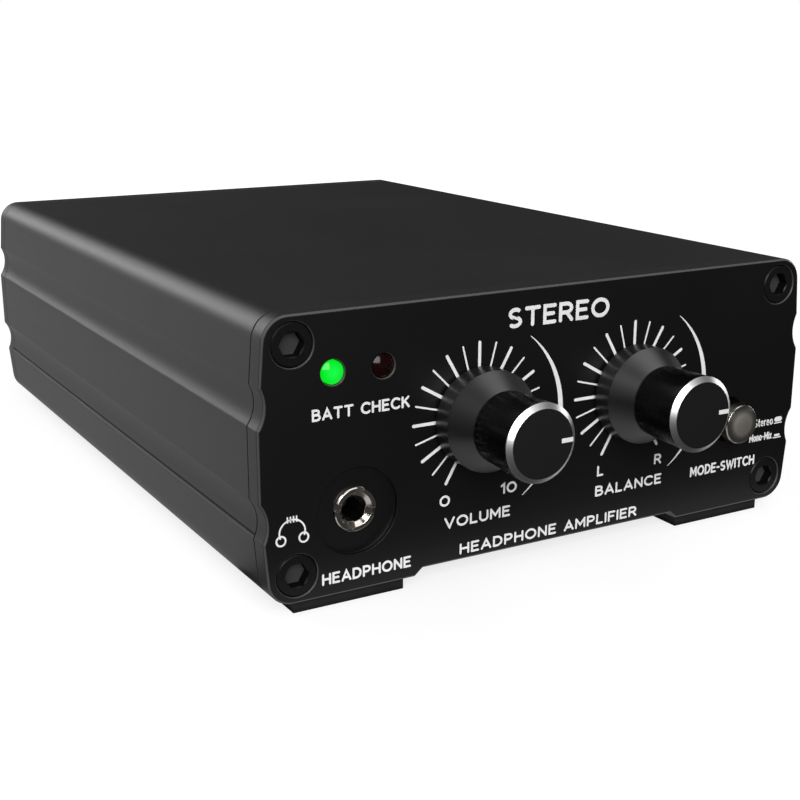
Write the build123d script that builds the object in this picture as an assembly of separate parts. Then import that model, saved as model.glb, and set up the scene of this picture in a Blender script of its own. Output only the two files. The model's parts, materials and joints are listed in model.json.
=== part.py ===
from build123d import *
import os
from math import cos, hypot, radians, sin

# Headphone monitor amplifier: an extruded aluminium case in two shells between two end
# panels, two knobs, a push button, two lamps and a phone socket on the front, and two
# combined inputs, a DC inlet and a power rocker on the rear.
#
# All sizes are in millimetres. X runs to the right as seen from the front, Y runs from
# front to rear and Z runs up. The origin is under the middle of the whole object, on the
# surface that it stands on.

# --- Case ---
CASE_WIDTH = 88.0
CASE_HEIGHT = 36.8
CASE_LENGTH = 122.0
PANEL_THICKNESS = 3.0
PANEL_CHAMFER = 0.3
JOINT_CHAMFER = 0.2
CORNER_RADIUS = 3.4
FACET_LEAN = 1.15
FACET_START = 5.0
GROOVE_WIDTH = 5.2
GROOVE_DEPTH = 0.75
CHANNEL_HALF_WIDTH = 22.1
CHANNEL_RISE = 1.0
CHANNEL_STEP = 1.2
CAVITY_HALF_WIDTH = 41.0
CAVITY_FLOOR = 3.0
CEILING_THICKNESS = 1.8
SEAM_HEIGHT = 9.0
SEAM_TONGUE = 1.2
SEAM_TONGUE_THICKNESS = 0.9

# --- Foot strips ---
FOOT_THICKNESS = 1.9
FOOT_INNER_EDGE = 23.2
FOOT_OUTER_EDGE = 39.15
FOOT_SETBACK = 1.4

# --- Panel screws: low-head M3 socket screws ---
SCREW_X = 39.16
SCREW_RISE = 14.7
SCREW_BOSS_RADIUS = 3.1
SCREW_HEAD_RADIUS = 2.75
SCREW_HEAD_HEIGHT = 2.05
SCREW_HEAD_ROUNDING = 0.15
SCREW_SHANK_RADIUS = 1.45
SCREW_HOLE_RADIUS = 1.5
SCREW_LENGTH = 8.0
SCREW_HOLE_DEPTH = 10.0
HEX_SOCKET_ACROSS = 3.0
HEX_SOCKET_DEPTH = 1.6
HEX_SOCKET_LEAD = 0.15
COUNTERBORE_RADIUS = 2.88
COUNTERBORE_DEPTH = 2.1
HOLE_EDGE = 0.12

# --- Knobs, and the potentiometers that they turn ---
DIAL_SPACING = 25.4
DIAL_HEIGHT = 20.6
KNOB_LENGTH = 14.4
KNOB_GAP = 0.5
SHAFT_END_GAP = 0.5
SKIRT_RADIUS = 6.77
SKIRT_WALL_TOP = 3.25
SKIRT_TAPER_TOP = 6.3
BARREL_BASE_RADIUS = 4.83
BARREL_FRONT_RADIUS = 5.13
RIM_WIDTH = 0.72
RIM_DEPTH = 0.55
KNOB_CAVITY_RADIUS = 6.15
KNOB_CAVITY_TOP = 3.6
SHAFT_RADIUS = 3.0
SHAFT_FLAT = 1.5
SHAFT_TOP = 12.0
SHAFT_CLEARANCE = 0.05
BUSHING_RADIUS = 3.5
BUSHING_TOP = 3.0
POT_WIDTH = 9.8
POT_DEPTH = 12.0
POT_TOP_MARGIN = 5.2
WASHER_RADIUS = 5.6
WASHER_THICKNESS = 0.5
NUT_ACROSS = 10.0
NUT_THICKNESS = 2.0
POT_HOLE_RADIUS = 3.55
POINTER_INNER = 2.75
POINTER_WIDTH = 0.62
POINTER_DEPTH = 0.15

# --- Lamps ---
LAMP_X = (-33.8, -26.8)
LAMP_HEIGHT = 29.05
LAMP_RADIUS = 1.5
LAMP_FLANGE_RADIUS = 1.9
LAMP_FLANGE_THICKNESS = 0.9
LAMP_HOLE_RADIUS = 1.64
LAMP_RISE = 0.35
LAMP_DOME_RADIUS = 2.6
LAMP_LEAD_RADIUS = 0.25
LAMP_BOARD_SETBACK = 15.0
LAMP_BOARD_WIDTH = 11.2
LAMP_BOARD_MARGIN = 3.0
PIN_PITCH = 2.54
PIN_STEPS = (-1.5, -0.5, 0.5, 1.5)
PIN_WIDTH = 0.6
PIN_STRIP_WIDTH = 10.2
PIN_STRIP_SIZE = 2.5
PIN_PROTRUSION = 1.8

# --- Phone socket, 3.5 mm ---
JACK_X = -30.7
JACK_HEIGHT = 10.8
JACK_BORE_RADIUS = 1.75
JACK_BUSH_RADIUS = 2.95
JACK_BUSH_LENGTH = 5.5
JACK_BUSH_SETBACK = 0.25
JACK_BEVEL = 0.55
JACK_EDGE = 0.15
JACK_SLOT_WIDTH = 0.95
JACK_SLOT_DEPTH = 0.7
JACK_SLOT_TURNS = (-15, 75)
JACK_RECESS_RADIUS = 5.85
JACK_RECESS_DEPTH = 0.7
JACK_HOLE_RADIUS = 3.0
JACK_BODY_WIDTH = 7.0
JACK_BODY_TOP = 13.9
JACK_BODY_DEPTH = 12.0
JACK_END_WALL = 0.8
JACK_CONTACT_DEPTHS = (4.0, 9.0)
JACK_CONTACT_WIDTH = 1.6
JACK_CONTACT_THICKNESS = 0.3
JACK_CONTACT_MARGIN = 1.0

# --- Mode push switch ---
BUTTON_X = 30.9
BUTTON_HEIGHT = 13.8
BUTTON_RADIUS = 2.92
BUTTON_NECK_RADIUS = 2.6
BUTTON_HEAD_LENGTH = 1.7
BUTTON_REACH = 3.4
BUTTON_TAIL = 0.5
BUTTON_EDGE = 0.35
BUTTON_ROUNDING = 0.7
BUTTON_DOME_RADIUS = 12.0
BUTTON_HOLE_RADIUS = 3.5
STEM_WIDTH = 3.0
STEM_CLEARANCE = 0.15
STEM_LENGTH = 9.0
SWITCH_SETBACK = 3.6
SWITCH_WIDTH = 8.0
SWITCH_DEPTH = 12.0
SWITCH_TOP = 18.0
SWITCH_END_WALL = 1.0

# --- Main board and what stands on it ---
BOARD_TOP = 8.3
BOARD_THICKNESS = 1.6
BOARD_HALF_WIDTH = 35.5
BOARD_END_GAP = 0.5
STANDOFF_X = (-17.2, 10.6)
STANDOFF_FRONT = 2.9
STANDOFF_REAR = 30.0
STANDOFF_RADIUS = 2.6
BASE_SCREW_HEAD_RADIUS = 2.6
BASE_SCREW_HEAD_HEIGHT = 1.9
BASE_SCREW_DOME = 1.2
BASE_SCREW_LENGTH = 7.0
BASE_SCREW_CROSS = (2.6, 0.6, 1.0)
CAPACITOR_SIZES = {"reservoir": (5.0, 16.0), "coupling": (4.0, 12.5), "filter": (3.2, 11.0)}
CAPACITOR_SPOTS = (
    ("reservoir", -28.0, -8.0),
    ("reservoir", -28.0, 5.0),
    ("coupling", -28.0, 18.0),
    ("coupling", -17.5, 18.0),
    ("filter", -16.0, -22.0),
    ("filter", -16.0, -13.0),
)
CHIP_SPOTS = ((-17.5, -3.0), (-17.5, 8.0), (28.0, -24.0), (28.0, 24.0))
CHIP_SIZE = (6.4, 9.6, 3.4)
CHIP_LIFT = 0.8
CHIP_LEG = (0.6, 0.9, 2.2)

# --- Rear panel parts ---
REAR_REACH = 2.4
INPUT_X = (-22.5, 4.5)
INPUT_HEIGHT = 21.3
INPUT_HOLE_RADIUS = 12.0
INPUT_NOSE_RADIUS = 11.7
INPUT_NOSE_REACH = 0.8
INPUT_BODY_HALF_WIDTH = 12.8
INPUT_BODY_DEPTH = 24.0
INPUT_RING_OUTER = 9.7
INPUT_RING_INNER = 7.9
INPUT_RING_DEPTH = 15.0
INPUT_INSERT_SETBACK = 1.0
INPUT_NOSE_CHAMFER = 0.5
INPUT_BORE_RADIUS = 3.2
INPUT_PIN_HOLE_RADIUS = 1.35
INPUT_PIN_CIRCLE = 5.75
INPUT_PIN_DEPTH = 12.0
INPUT_PIN_TURNS = (90, 210, 330)
INPUT_SCREW_RADIUS = 1.3
INPUT_SCREW_LENGTH = 9.0
INPUT_SCREW_HOLE_DEPTH = 10.0
INPUT_SCREW_HEAD_RADIUS = 2.0
INPUT_SCREW_HEAD_HEIGHT = 1.1
INPUT_SCREW_ROUNDING = 0.5
INPUT_SCREW_CROSS = (2.2, 0.5, 0.7)
INPUT_SCREW_REACH = 10.9
LATCH_WIDTH = 6.0
LATCH_HEIGHT = 1.4
LATCH_REACH = 1.6
LATCH_CLEARANCE = 0.15
LATCH_OFFSET = 10.55
LATCH_LENGTH = 8.0
LATCH_ROOM = 2.0
INLET_X = 27.5
INLET_HEIGHT = 14.3
INLET_NOSE_RADIUS = 4.0
INLET_HOLE_RADIUS = 4.05
INLET_SOCKET_RADIUS = 2.9
INLET_SOCKET_DEPTH = 9.5
INLET_PIN_RADIUS = 1.0
INLET_PIN_SETBACK = 0.6
INLET_BODY_WIDTH = 9.0
INLET_BODY_TOP = 19.3
INLET_BODY_DEPTH = 11.0
ROCKER_X = 27.5
ROCKER_HEIGHT = 26.3
ROCKER_FLANGE = (15.0, 9.6)
ROCKER_FLANGE_THICKNESS = 1.2
ROCKER_CUTOUT = (13.2, 8.2)
ROCKER_OPENING = (10.6, 6.2)
ROCKER_DEPTH = 9.0
ROCKER_FLOOR = 1.0
ROCKER_HALF_LENGTH = 4.6
ROCKER_SIDE_CLEARANCE = 0.3
ROCKER_PIVOT_SETBACK = 1.6
ROCKER_PIVOT_RADIUS = 0.8
ROCKER_PIVOT_LENGTH = 1.0
ROCKER_TILT = 9.0
ROCKER_VALLEY = 0.55
ROCKER_TAIL = 1.6

# --- Battery, nine volts ---
BATTERY_SIZE = (48.5, 26.5, 17.5)
BATTERY_CENTRE_X = 7.0
BATTERY_ROUNDING = 2.0
TERMINAL_SPACING = 12.7
TERMINAL_RADIUS = 3.0
TERMINAL_LENGTH = 2.8
CONTACT_PLATE = (24.0, 0.8, 12.0)
HOLDER_WALL = 1.5
HOLDER_WALL_HEIGHT = 11.0
HOLDER_GAP = 0.2
JACK_NOTCH_GAP = 0.2

# --- Shared small sizes ---
SMALL_CHAMFER = 0.3
CUT_MARGIN = 1.0

# --- Planes worked out from the driving sizes ---
OVERALL_LENGTH = KNOB_LENGTH + CASE_LENGTH + REAR_REACH
FRONT = KNOB_LENGTH - OVERALL_LENGTH / 2
BACK = FRONT + CASE_LENGTH
INNER_FRONT = FRONT + PANEL_THICKNESS
INNER_BACK = BACK - PANEL_THICKNESS
FLOOR = FOOT_THICKNESS
MIDDLE = FLOOR + CASE_HEIGHT / 2
TOP = FLOOR + CASE_HEIGHT
BOARD_Z = FLOOR + BOARD_TOP
DIAL_X = (-DIAL_SPACING / 2, DIAL_SPACING / 2)
SCREW_SPOTS = [(x, z) for x in (-SCREW_X, SCREW_X) for z in (MIDDLE - SCREW_RISE, MIDDLE + SCREW_RISE)]


# --- Shared helpers ---
def upright(y):
    """A drawing plane at depth y, whose sketch axes are X and Z, seen from the front."""
    return Plane(origin=(0, y, 0), x_dir=(1, 0, 0), z_dir=(0, -1, 0))


def prism(outline, y_from, y_to):
    """Sweep an outline drawn in X and Z from one depth to another."""
    return extrude(upright(y_from) * outline, amount=y_from - y_to)


def disc(x, z, radius):
    return Pos(x, z) * Circle(radius)


def rod(x, z, radius, y_from, y_to):
    return prism(disc(x, z, radius), y_from, y_to)


def tube(x, z, outer, inner, y_from, y_to):
    return prism(disc(x, z, outer) - disc(x, z, inner), y_from, y_to)


def block(x_span, y_span, z_span):
    """A box from its low and high limits along each axis."""
    size = [high - low for low, high in (x_span, y_span, z_span)]
    middle = [(high + low) / 2 for low, high in (x_span, y_span, z_span)]
    return Pos(*middle) * Box(*size)


def centred(middle, width):
    return (middle - width / 2, middle + width / 2)


def hexagon(x, z, across):
    return Pos(x, z) * RegularPolygon(radius=across / 2, side_count=6, major_radius=False)


def turned(profile, x, z):
    """Turn a profile about an axis along Y through x and z.

    The profile's points are (radius, depth), with depth measured along Y.
    """
    outline = make_face(Polyline([(radius, depth, 0) for radius, depth in profile], close=True))
    return Pos(x, 0, z) * revolve(outline, Axis.Y)


def several(solids):
    """Separate solids kept side by side in one node."""
    return Compound(children=list(solids))


# --- Case ---
def case_outline():
    """The outline shared by the shells and the panels.

    Each side has three flat facets, the outer two leaning in, with a concave groove
    between each pair, and the underside has a shallow channel between its two lands.
    """
    half = CASE_WIDTH / 2
    high = CASE_HEIGHT / 2
    sides = make_face(
        Polyline(
            (-half + FACET_LEAN, -high),
            (-half, -FACET_START),
            (-half, FACET_START),
            (-half + FACET_LEAN, high),
            (half - FACET_LEAN, high),
            (half, FACET_START),
            (half, -FACET_START),
            (half - FACET_LEAN, -high),
            close=True,
        )
    )
    corners = [v for v in sides.vertices() if abs(abs(v.Y) - high) < 0.01]
    outline = fillet(corners, CORNER_RADIUS)
    for side in (-1, 1):
        for level in (-1, 1):
            outline -= groove_cutter(side, level)
    channel = Polyline(
        (-CHANNEL_HALF_WIDTH, -high),
        (-CHANNEL_HALF_WIDTH + CHANNEL_STEP, -high + CHANNEL_RISE),
        (CHANNEL_HALF_WIDTH - CHANNEL_STEP, -high + CHANNEL_RISE),
        (CHANNEL_HALF_WIDTH, -high),
        close=True,
    )
    return Pos(0, MIDDLE) * (outline - make_face(channel))


def groove_cutter(side, level):
    """A disc that cuts one groove, so that its chord and depth are the driving sizes."""
    slope = FACET_LEAN / (CASE_HEIGHT / 2 - FACET_START)
    middle_rise = FACET_START + GROOVE_WIDTH / 2
    middle_x = CASE_WIDTH / 2 - slope * GROOVE_WIDTH / 2
    radius = ((GROOVE_WIDTH / 2) ** 2 + GROOVE_DEPTH**2) / (2 * GROOVE_DEPTH)
    centre_x = middle_x + radius - GROOVE_DEPTH
    return Pos(side * centre_x, level * middle_rise) * Circle(radius)


def cavity():
    """The hollow inside the shells, as an outline."""
    low = FLOOR + CAVITY_FLOOR
    high = TOP - CEILING_THICKNESS
    return Pos(0, (low + high) / 2) * Rectangle(2 * CAVITY_HALF_WIDTH, high - low)


def whole_tube():
    """Both shells as one piece, before they are parted at the seam."""
    section = case_outline() - cavity()
    for x, z in SCREW_SPOTS:
        section += disc(x, z, SCREW_BOSS_RADIUS) & case_outline()
    body = prism(section, INNER_FRONT, INNER_BACK)
    for x, z in SCREW_SPOTS:
        body -= rod(x, z, SCREW_HOLE_RADIUS, INNER_FRONT, INNER_FRONT + SCREW_HOLE_DEPTH)
        body -= rod(x, z, SCREW_HOLE_RADIUS, INNER_BACK - SCREW_HOLE_DEPTH, INNER_BACK)
    return body


def seam_zone():
    """Everything that belongs to the upper shell, with the tongues inside the side walls."""
    seam = FLOOR + SEAM_HEIGHT
    depth = (INNER_FRONT - CUT_MARGIN, INNER_BACK + CUT_MARGIN)
    zone = block((-CASE_WIDTH, CASE_WIDTH), depth, (seam, TOP + CUT_MARGIN))
    for side in (-1, 1):
        inner = side * CAVITY_HALF_WIDTH
        outer = side * (CAVITY_HALF_WIDTH + SEAM_TONGUE_THICKNESS)
        zone += block(sorted((inner, outer)), depth, (seam - SEAM_TONGUE, seam))
    return zone


def upper_shell():
    return whole_tube() & seam_zone()


def lower_shell():
    shell = whole_tube() - seam_zone()
    for x, y in standoff_spots():
        shell -= Pos(x, y, FLOOR) * Cylinder(SCREW_HOLE_RADIUS, 4 * CAVITY_FLOOR)
    return shell


def edged_hole(x, z, radius, y_outer, y_end):
    """The space of a round hole whose edge at y_outer is broken by a small chamfer."""
    inward = 1 if y_end > y_outer else -1
    profile = [
        (0, y_outer),
        (radius + HOLE_EDGE, y_outer),
        (radius, y_outer + inward * HOLE_EDGE),
        (radius, y_end),
        (0, y_end),
    ]
    return turned(profile, x, z)


def blank_panel(y_outer, y_inner):
    """A panel with both its edges chamfered and its four corner screws let in.

    The smaller chamfer leaves a fine groove where the panel meets the shells.
    """
    away = 1 if y_outer > y_inner else -1
    panel = prism(case_outline(), y_outer, y_inner)
    for y, size in ((y_outer, PANEL_CHAMFER), (y_inner, JOINT_CHAMFER)):
        rim = panel.faces().filter_by(Axis.Y).filter_by_position(Axis.Y, y - 0.01, y + 0.01)
        panel = chamfer(rim.edges(), size)
    for x, z in SCREW_SPOTS:
        panel -= edged_hole(x, z, COUNTERBORE_RADIUS, y_outer, y_outer - away * COUNTERBORE_DEPTH)
        panel -= rod(x, z, SCREW_HOLE_RADIUS, y_outer, y_inner)
    return panel


def front_panel():
    panel = blank_panel(FRONT, INNER_FRONT)
    for x in DIAL_X:
        panel -= rod(x, FLOOR + DIAL_HEIGHT, POT_HOLE_RADIUS, FRONT, INNER_FRONT)
    for x in LAMP_X:
        panel -= edged_hole(x, FLOOR + LAMP_HEIGHT, LAMP_HOLE_RADIUS, FRONT, INNER_FRONT)
    panel -= rod(BUTTON_X, FLOOR + BUTTON_HEIGHT, BUTTON_HOLE_RADIUS, FRONT, INNER_FRONT)
    jack_z = FLOOR + JACK_HEIGHT
    panel -= rod(JACK_X, jack_z, JACK_RECESS_RADIUS, FRONT, FRONT + JACK_RECESS_DEPTH)
    panel -= rod(JACK_X, jack_z, JACK_HOLE_RADIUS, FRONT, INNER_FRONT)
    return panel


def input_screw_spots():
    """The two screws of each input, low on one side and high on the other."""
    reach = INPUT_SCREW_REACH
    spots = []
    for x in INPUT_X:
        spots.append((x - reach, FLOOR + INPUT_HEIGHT + reach))
        spots.append((x + reach, FLOOR + INPUT_HEIGHT - reach))
    return spots


def rear_panel():
    panel = blank_panel(BACK, INNER_BACK)
    for x in INPUT_X:
        panel -= rod(x, FLOOR + INPUT_HEIGHT, INPUT_HOLE_RADIUS, INNER_BACK, BACK)
    for x, z in input_screw_spots():
        panel -= rod(x, z, INPUT_SCREW_RADIUS + SHAFT_CLEARANCE, INNER_BACK, BACK)
    panel -= rod(INLET_X, FLOOR + INLET_HEIGHT, INLET_HOLE_RADIUS, INNER_BACK, BACK)
    window = Pos(ROCKER_X, FLOOR + ROCKER_HEIGHT) * Rectangle(*ROCKER_CUTOUT)
    return panel - prism(window, INNER_BACK, BACK)


def panel_screws(y_outer, inward):
    """Four low-head socket screws, with their heads let into the panel."""
    head_y = y_outer + inward * (COUNTERBORE_DEPTH - SCREW_HEAD_HEIGHT)
    seat_y = head_y + inward * SCREW_HEAD_HEIGHT
    screws = []
    for x, z in SCREW_SPOTS:
        rounding = SCREW_HEAD_ROUNDING
        profile = [
            (0, head_y),
            (SCREW_HEAD_RADIUS - rounding, head_y),
            (SCREW_HEAD_RADIUS, head_y + inward * rounding),
            (SCREW_HEAD_RADIUS, seat_y),
            (SCREW_SHANK_RADIUS, seat_y),
            (SCREW_SHANK_RADIUS, seat_y + inward * SCREW_LENGTH),
            (0, seat_y + inward * SCREW_LENGTH),
        ]
        socket = prism(hexagon(x, z, HEX_SOCKET_ACROSS), head_y, head_y + inward * HEX_SOCKET_DEPTH)
        mouth = HEX_SOCKET_ACROSS / 2 + HEX_SOCKET_LEAD
        lead = turned([(0, head_y), (mouth, head_y), (0, head_y + inward * mouth)], x, z)
        screws.append(turned(profile, x, z) - socket - lead)
    return several(screws)


def foot_strip(side):
    spans = sorted((side * FOOT_INNER_EDGE, side * FOOT_OUTER_EDGE))
    return block(spans, (FRONT + FOOT_SETBACK, BACK - FOOT_SETBACK), (0, FLOOR))


# --- Knobs and potentiometers ---
def d_section(x, z, radius):
    """A round section with a flat on top."""
    flat = Pos(x, z + SHAFT_FLAT + radius) * Rectangle(2 * radius, 2 * radius)
    return disc(x, z, radius) - flat


def knob(x):
    """A turned knob: a skirt wall, a tapered shoulder, a barrel and a cut rim."""
    z = FLOOR + DIAL_HEIGHT
    face_y = FRONT - KNOB_LENGTH
    profile = [
        (0, FRONT - KNOB_CAVITY_TOP),
        (KNOB_CAVITY_RADIUS, FRONT - KNOB_CAVITY_TOP),
        (KNOB_CAVITY_RADIUS, FRONT - KNOB_GAP),
        (SKIRT_RADIUS, FRONT - KNOB_GAP),
        (SKIRT_RADIUS, FRONT - SKIRT_WALL_TOP),
        (BARREL_BASE_RADIUS, FRONT - SKIRT_TAPER_TOP),
        (BARREL_FRONT_RADIUS, face_y + RIM_DEPTH),
        (BARREL_FRONT_RADIUS - RIM_WIDTH, face_y),
        (0, face_y),
    ]
    body = turned(profile, x, z)
    body -= prism(d_section(x, z, SHAFT_RADIUS), FRONT - SHAFT_TOP, FRONT - KNOB_CAVITY_TOP)
    return body - block(
        (x + POINTER_INNER, x + BARREL_FRONT_RADIUS),
        (face_y - CUT_MARGIN, face_y + POINTER_DEPTH),
        centred(z, POINTER_WIDTH),
    )


def pot_shaft(x):
    """The D-shaped shaft, round where it turns inside the bushing."""
    z = FLOOR + DIAL_HEIGHT
    tip = prism(d_section(x, z, SHAFT_RADIUS), FRONT - SHAFT_TOP, FRONT - KNOB_CAVITY_TOP)
    journal = rod(x, z, SHAFT_RADIUS, FRONT - KNOB_CAVITY_TOP, INNER_FRONT + POT_DEPTH / 2)
    return tip + journal


def potentiometer(x):
    """The housing that stands on the board, with its threaded bushing."""
    z = FLOOR + DIAL_HEIGHT
    depth = (INNER_FRONT, INNER_FRONT + POT_DEPTH)
    housing = block(centred(x, POT_WIDTH), depth, (BOARD_Z, z + POT_TOP_MARGIN))
    bushing = rod(x, z, BUSHING_RADIUS, FRONT - BUSHING_TOP, INNER_FRONT)
    bore_end = INNER_FRONT + POT_DEPTH / 2 + SHAFT_END_GAP
    bore = rod(x, z, SHAFT_RADIUS + SHAFT_CLEARANCE, FRONT - BUSHING_TOP, bore_end)
    return housing + bushing - bore


def pot_washers():
    z = FLOOR + DIAL_HEIGHT
    outer = FRONT - WASHER_THICKNESS
    return several(tube(x, z, WASHER_RADIUS, BUSHING_RADIUS, outer, FRONT) for x in DIAL_X)


def pot_nuts():
    z = FLOOR + DIAL_HEIGHT
    seat = FRONT - WASHER_THICKNESS
    nuts = []
    for x in DIAL_X:
        section = hexagon(x, z, NUT_ACROSS) - disc(x, z, BUSHING_RADIUS)
        nuts.append(prism(section, seat - NUT_THICKNESS, seat))
    return several(nuts)


# --- Lamps ---
def lamp(x):
    """A round lamp: a domed lens with a flange behind the panel, and two leads."""
    z = FLOOR + LAMP_HEIGHT
    tip = FRONT - LAMP_RISE
    dome_centre = tip + LAMP_DOME_RADIUS
    dome = Pos(x, dome_centre, z) * Sphere(LAMP_DOME_RADIUS) & rod(x, z, LAMP_RADIUS, tip, dome_centre)
    lens = rod(x, z, LAMP_RADIUS, dome_centre, INNER_FRONT)
    flange = rod(x, z, LAMP_FLANGE_RADIUS, INNER_FRONT, INNER_FRONT + LAMP_FLANGE_THICKNESS)
    body = lens + dome + flange
    for side in (-1, 1):
        lead_x = x + side * PIN_PITCH / 2
        body += rod(lead_x, z, LAMP_LEAD_RADIUS, INNER_FRONT, INNER_FRONT + LAMP_BOARD_SETBACK)
    return body


def lamp_board():
    """The small upright board that carries both lamps."""
    middle = sum(LAMP_X) / 2
    front = INNER_FRONT + LAMP_BOARD_SETBACK
    depth = (front, front + BOARD_THICKNESS)
    height = (BOARD_Z, FLOOR + LAMP_HEIGHT + LAMP_BOARD_MARGIN)
    board = block(centred(middle, LAMP_BOARD_WIDTH), depth, height)
    for pin in board_pins():
        board -= pin
    return board


def board_pins():
    """The square pins that pass through the lamp board's foot."""
    middle = sum(LAMP_X) / 2
    front = INNER_FRONT + LAMP_BOARD_SETBACK
    depth = (front - PIN_PROTRUSION, front + BOARD_THICKNESS + PIN_STRIP_SIZE)
    height = centred(BOARD_Z + PIN_STRIP_SIZE / 2, PIN_WIDTH)
    return [block(centred(middle + PIN_PITCH * step, PIN_WIDTH), depth, height) for step in PIN_STEPS]


def lamp_board_pins():
    """The pins, and the strip that holds them to the main board."""
    back = INNER_FRONT + LAMP_BOARD_SETBACK + BOARD_THICKNESS
    strip = block(
        centred(sum(LAMP_X) / 2, PIN_STRIP_WIDTH),
        (back, back + PIN_STRIP_SIZE),
        (BOARD_Z, BOARD_Z + PIN_STRIP_SIZE),
    )
    for pin in board_pins():
        strip += pin
    return strip


# --- Phone socket ---
def jack_bush():
    """The slotted metal ring that holds the socket to the panel."""
    face = FRONT + JACK_BUSH_SETBACK
    z = FLOOR + JACK_HEIGHT
    profile = [
        (JACK_BORE_RADIUS, face + JACK_BEVEL),
        (JACK_BORE_RADIUS + JACK_BEVEL, face),
        (JACK_BUSH_RADIUS - JACK_EDGE, face),
        (JACK_BUSH_RADIUS, face + JACK_EDGE),
        (JACK_BUSH_RADIUS, face + JACK_BUSH_LENGTH),
        (JACK_BORE_RADIUS, face + JACK_BUSH_LENGTH),
    ]
    bush = turned(profile, JACK_X, z)
    for turn in JACK_SLOT_TURNS:
        slot = Pos(JACK_X, z) * Rot(0, 0, turn) * Rectangle(4 * JACK_BUSH_RADIUS, JACK_SLOT_WIDTH)
        bush -= prism(slot, face, face + JACK_SLOT_DEPTH)
    return bush


def jack_body():
    z = FLOOR + JACK_HEIGHT
    depth = (INNER_FRONT, INNER_FRONT + JACK_BODY_DEPTH)
    body = block(centred(JACK_X, JACK_BODY_WIDTH), depth, (BOARD_Z, FLOOR + JACK_BODY_TOP))
    bush_end = FRONT + JACK_BUSH_SETBACK + JACK_BUSH_LENGTH
    body -= rod(JACK_X, z, JACK_BUSH_RADIUS, INNER_FRONT, bush_end)
    bore_end = INNER_FRONT + JACK_BODY_DEPTH - JACK_END_WALL
    return body - rod(JACK_X, z, JACK_BORE_RADIUS, bush_end, bore_end)


def jack_contacts():
    """The spring contacts along the socket's sides, each with its foot on the board."""
    height = (BOARD_Z, FLOOR + JACK_HEIGHT + JACK_CONTACT_MARGIN)
    contacts = []
    for side in (-1, 1):
        inner = JACK_X + side * JACK_BODY_WIDTH / 2
        span = sorted((inner, inner + side * JACK_CONTACT_THICKNESS))
        for y in JACK_CONTACT_DEPTHS:
            contacts.append(block(span, centred(INNER_FRONT + y, JACK_CONTACT_WIDTH), height))
    return several(contacts)


# --- Mode switch ---
def switch_housing():
    z = FLOOR + BUTTON_HEIGHT
    front = INNER_FRONT + SWITCH_SETBACK
    back = front + SWITCH_DEPTH
    body = block(centred(BUTTON_X, SWITCH_WIDTH), (front, back), (BOARD_Z, FLOOR + SWITCH_TOP))
    well_width = STEM_WIDTH + 2 * STEM_CLEARANCE
    well = Pos(BUTTON_X, z) * Rectangle(well_width, well_width)
    return body - prism(well, front, back - SWITCH_END_WALL)


def switch_stem():
    z = FLOOR + BUTTON_HEIGHT
    start = INNER_FRONT + BUTTON_TAIL
    return prism(Pos(BUTTON_X, z) * Rectangle(STEM_WIDTH, STEM_WIDTH), start, start + STEM_LENGTH)


def mode_button():
    """The metal cap: a wider head, domed and rounded in front, on a narrower neck."""
    z = FLOOR + BUTTON_HEIGHT
    face = FRONT - BUTTON_REACH
    step = face + BUTTON_HEAD_LENGTH
    head = rod(BUTTON_X, z, BUTTON_RADIUS, face, step)
    head = fillet(head.edges().group_by(Axis.Y)[0], BUTTON_ROUNDING)
    head &= Pos(BUTTON_X, face + BUTTON_DOME_RADIUS, z) * Sphere(BUTTON_DOME_RADIUS)
    neck_profile = [
        (0, step),
        (BUTTON_RADIUS, step),
        (BUTTON_NECK_RADIUS, step + BUTTON_EDGE),
        (BUTTON_NECK_RADIUS, INNER_FRONT + BUTTON_TAIL),
        (0, INNER_FRONT + BUTTON_TAIL),
    ]
    return head + turned(neck_profile, BUTTON_X, z)


# --- Board, base screws and components ---
def standoff_spots():
    return [(x, y) for x in STANDOFF_X for y in (INNER_FRONT + STANDOFF_FRONT, INNER_BACK - STANDOFF_REAR)]


def main_board():
    depth = (INNER_FRONT + BOARD_END_GAP, INNER_BACK - BOARD_END_GAP)
    board = block((-BOARD_HALF_WIDTH, BOARD_HALF_WIDTH), depth, (BOARD_Z - BOARD_THICKNESS, BOARD_Z))
    for x, y in standoff_spots():
        board -= Pos(x, y, BOARD_Z) * Cylinder(SCREW_HOLE_RADIUS, 4 * BOARD_THICKNESS)
    notch_end = FRONT + JACK_BUSH_SETBACK + JACK_BUSH_LENGTH + JACK_NOTCH_GAP
    notch_width = centred(JACK_X, 2 * JACK_BUSH_RADIUS)
    return board - block(notch_width, (INNER_FRONT, notch_end), (FLOOR, BOARD_Z + CUT_MARGIN))


def board_standoffs():
    height = BOARD_Z - BOARD_THICKNESS - FLOOR - CAVITY_FLOOR
    ring = Circle(STANDOFF_RADIUS) - Circle(SCREW_HOLE_RADIUS)
    posts = [Pos(x, y, FLOOR + CAVITY_FLOOR) * extrude(ring, amount=height) for x, y in standoff_spots()]
    return several(posts)


def base_screws():
    """Domed screws that pass up through the underside's channel into the standoffs."""
    seat = FLOOR + CHANNEL_RISE
    low = seat - BASE_SCREW_HEAD_HEIGHT
    length, width, depth = BASE_SCREW_CROSS
    cross = Box(length, width, 2 * depth) + Box(width, length, 2 * depth)
    screws = []
    for x, y in standoff_spots():
        shank = Pos(x, y, seat) * extrude(Circle(SCREW_SHANK_RADIUS), amount=BASE_SCREW_LENGTH)
        head = extrude(Circle(BASE_SCREW_HEAD_RADIUS), amount=BASE_SCREW_HEAD_HEIGHT)
        head = fillet(head.edges().group_by(Axis.Z)[0], BASE_SCREW_DOME) - cross
        screws.append(Pos(x, y, low) * head + shank)
    return several(screws)


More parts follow.
